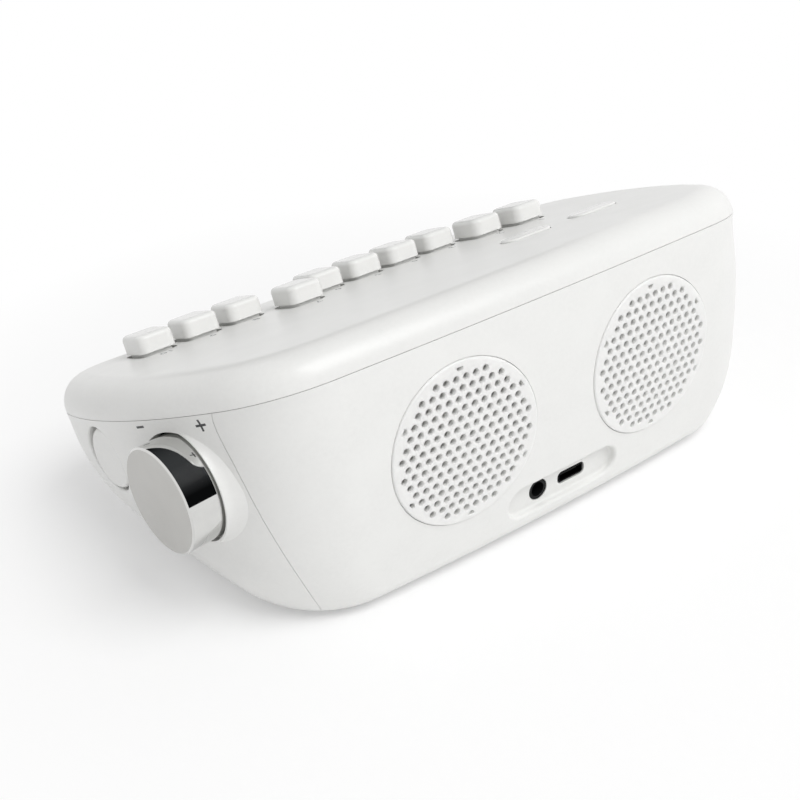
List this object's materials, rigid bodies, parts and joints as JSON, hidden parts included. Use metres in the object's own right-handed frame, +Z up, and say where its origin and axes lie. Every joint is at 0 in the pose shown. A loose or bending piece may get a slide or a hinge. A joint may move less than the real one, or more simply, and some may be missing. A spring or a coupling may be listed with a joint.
{
  "type": "white noise sound machine",
  "caption": "Wedge-shaped tabletop sound machine with speaker grilles in its tall back, sound keys on its sloping top, and a turning volume knob and power button in one end.",
  "frame": {"origin": "on the plane that the feet stand on, midway between the two speakers and at mid-depth of the case", "axes": "+X to the end with the volume knob, +Y to the speaker face at the back, +Z up"},
  "size_m": [0.1654, 0.0916, 0.0619],
  "materials": {
    "white_plastic": "moulded white ABS, satin gloss",
    "key_plastic": "moulded white ABS keys, satin gloss",
    "plated_plastic": "bright plated skirt with a satin face",
    "silicone": "matt translucent silicone",
    "foot_rubber": "matt rubber",
    "board_green": "green solder mask on glass-fibre board",
    "black_plastic": "black moulded plastic",
    "steel": "plated steel",
    "paper": "black pressed paper cone",
    "magnet": "sintered ferrite with steel plates",
    "foam": "closed-cell foam gasket",
    "ribbon": "flat flexible ribbon"
  },
  "bodies": {
    "case": {"lower_housing": "white_plastic", "right_end_cap": "white_plastic", "top_cover": "white_plastic", "key_mat": "silicone", "key_board": "board_green", "volume_pot": "steel", "pot_nut": "steel", "power_switch": "black_plastic", "end_board": "board_green", "main_board": "board_green", "headphone_jack": "black_plastic", "usb_socket_shell": "steel", "usb_socket_tongue": "black_plastic", "main_board_chips": "black_plastic", "main_board_capacitors": "steel", "ribbon_sockets": "black_plastic", "key_ribbon": "ribbon", "end_ribbon": "ribbon", "speaker_leads": "black_plastic", "case_screws": "steel", "main_board_screws": "steel", "key_board_screws": "steel", "end_board_screws": "steel", "speaker_screws": "steel", "rubber_feet": "foot_rubber", "left_grille": "white_plastic", "left_speaker_gasket": "foam", "left_speaker_frame": "steel", "left_speaker_cone": "paper", "left_speaker_magnet": "magnet", "right_grille": "white_plastic", "right_speaker_gasket": "foam", "right_speaker_frame": "steel", "right_speaker_cone": "paper", "right_speaker_magnet": "magnet"},
    "volume_knob": {"volume_knob": "plated_plastic", "volume_shaft": "steel"},
    "power_button": {"power_button": "white_plastic"},
    "key_01": {"key_01": "key_plastic"},
    "key_02": {"key_02": "key_plastic"},
    "key_03": {"key_03": "key_plastic"},
    "key_04": {"key_04": "key_plastic"},
    "key_05": {"key_05": "key_plastic"},
    "key_06": {"key_06": "key_plastic"},
    "key_07": {"key_07": "key_plastic"},
    "key_08": {"key_08": "key_plastic"},
    "key_09": {"key_09": "key_plastic"},
    "key_10": {"key_10": "key_plastic"},
    "function_button_1": {"function_button_1": "white_plastic"},
    "function_button_2": {"function_button_2": "white_plastic"}
  },
  "joints": [
    {"name": "volume_turn", "type": "hinge", "parent": "case", "child": "volume_knob", "pos_m": [0.0779, 0.0185, 0.03135], "axis": [0.9942, 0.108, 0], "range_deg": [-150, 150]},
    {"name": "power_press", "type": "slide", "parent": "case", "child": "power_button", "axis": [-0.9942, -0.108, 0], "range_m": [0, 0.0008], "stiffness_N_per_m": 400, "springref_m": -0.002},
    {"name": "key_01_press", "type": "slide", "parent": "case", "child": "key_01", "axis": [0, 0.3696, -0.9292], "range_m": [0, 0.001], "stiffness_N_per_m": 400, "springref_m": -0.002, "deforming": ["key_mat"]},
    {"name": "key_02_press", "type": "slide", "parent": "case", "child": "key_02", "axis": [0, 0.3696, -0.9292], "range_m": [0, 0.001], "stiffness_N_per_m": 400, "springref_m": -0.002, "deforming": ["key_mat"]},
    {"name": "key_03_press", "type": "slide", "parent": "case", "child": "key_03", "axis": [0, 0.3696, -0.9292], "range_m": [0, 0.001], "stiffness_N_per_m": 400, "springref_m": -0.002, "deforming": ["key_mat"]},
    {"name": "key_04_press", "type": "slide", "parent": "case", "child": "key_04", "axis": [0, 0.3696, -0.9292], "range_m": [0, 0.001], "stiffness_N_per_m": 400, "springref_m": -0.002, "deforming": ["key_mat"]},
    {"name": "key_05_press", "type": "slide", "parent": "case", "child": "key_05", "axis": [0, 0.3696, -0.9292], "range_m": [0, 0.001], "stiffness_N_per_m": 400, "springref_m": -0.002, "deforming": ["key_mat"]},
    {"name": "key_06_press", "type": "slide", "parent": "case", "child": "key_06", "axis": [0, 0.3696, -0.9292], "range_m": [0, 0.001], "stiffness_N_per_m": 400, "springref_m": -0.002, "deforming": ["key_mat"]},
    {"name": "key_07_press", "type": "slide", "parent": "case", "child": "key_07", "axis": [0, 0.3696, -0.9292], "range_m": [0, 0.001], "stiffness_N_per_m": 400, "springref_m": -0.002, "deforming": ["key_mat"]},
    {"name": "key_08_press", "type": "slide", "parent": "case", "child": "key_08", "axis": [0, 0.3696, -0.9292], "range_m": [0, 0.001], "stiffness_N_per_m": 400, "springref_m": -0.002, "deforming": ["key_mat"]},
    {"name": "key_09_press", "type": "slide", "parent": "case", "child": "key_09", "axis": [0, 0.3696, -0.9292], "range_m": [0, 0.001], "stiffness_N_per_m": 400, "springref_m": -0.002, "deforming": ["key_mat"]},
    {"name": "key_10_press", "type": "slide", "parent": "case", "child": "key_10", "axis": [0, 0.3696, -0.9292], "range_m": [0, 0.001], "stiffness_N_per_m": 400, "springref_m": -0.002, "deforming": ["key_mat"]},
    {"name": "function_button_1_press", "type": "slide", "parent": "case", "child": "function_button_1", "axis": [0, 0.3696, -0.9292], "range_m": [0, 0.0006], "stiffness_N_per_m": 400, "springref_m": -0.002, "deforming": ["key_mat"]},
    {"name": "function_button_2_press", "type": "slide", "parent": "case", "child": "function_button_2", "axis": [0, 0.3696, -0.9292], "range_m": [0, 0.0006], "stiffness_N_per_m": 400, "springref_m": -0.002, "deforming": ["key_mat"]}
  ]
}
